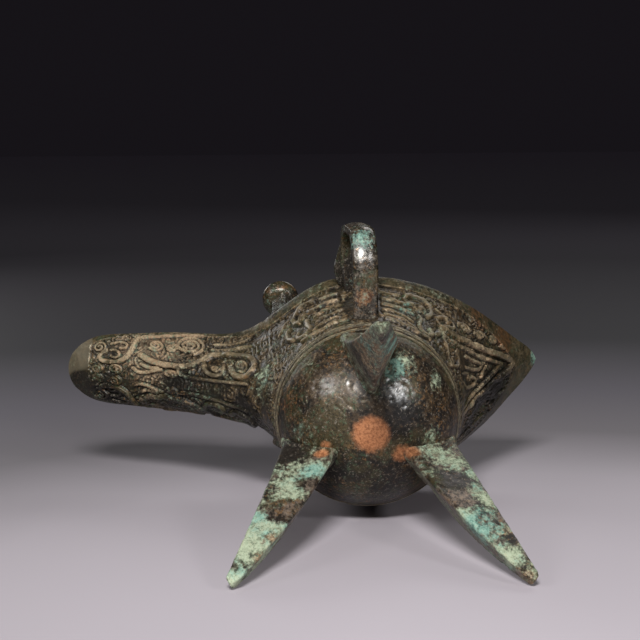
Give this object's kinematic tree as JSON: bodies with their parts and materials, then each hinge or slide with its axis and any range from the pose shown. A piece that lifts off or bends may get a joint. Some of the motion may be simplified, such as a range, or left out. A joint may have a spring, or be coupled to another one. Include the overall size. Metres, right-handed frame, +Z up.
{
  "type": "bronze jue vessel",
  "caption": "Ancient-style bronze wine cup on splayed three-sided legs, with an open spout, a pointed tail, capped posts on the rim and a strap handle with a beast head",
  "frame": {"origin": "On the surface that the vessel lies on, under the middle of its bounding box", "axes": "The vessel lies on its side, as pictured: +Z up, handle up, spout to -X, tail to +X, feet to -Y and mouth to +Y. The cup's axis runs along Y with its mouth end tilted up by under five degrees, because it rests on two feet and the rim. To stand it up, turn it about X until the three foot mounts face down."},
  "size_m": [0.173, 0.1926, 0.098],
  "materials": {
    "aged_bronze": "cast, dark brown patina with earth in the pattern",
    "green_bronze": "cast, green and blue-green patina",
    "bare_copper": "worn bare"
  },
  "bodies": {
    "root": {"base_plug": "bare_copper", "belly_band": "aged_bronze", "bowl": "aged_bronze", "cap_far_side": "green_bronze", "cap_handle_side": "green_bronze", "handle_head": "green_bronze", "handle_strap": "green_bronze", "leg_handle_side": "green_bronze", "leg_spout_side": "green_bronze", "leg_tail_side": "green_bronze", "post_far_side": "green_bronze", "post_handle_side": "green_bronze", "spout": "aged_bronze", "tail": "aged_bronze"}
  },
  "joints": []
}
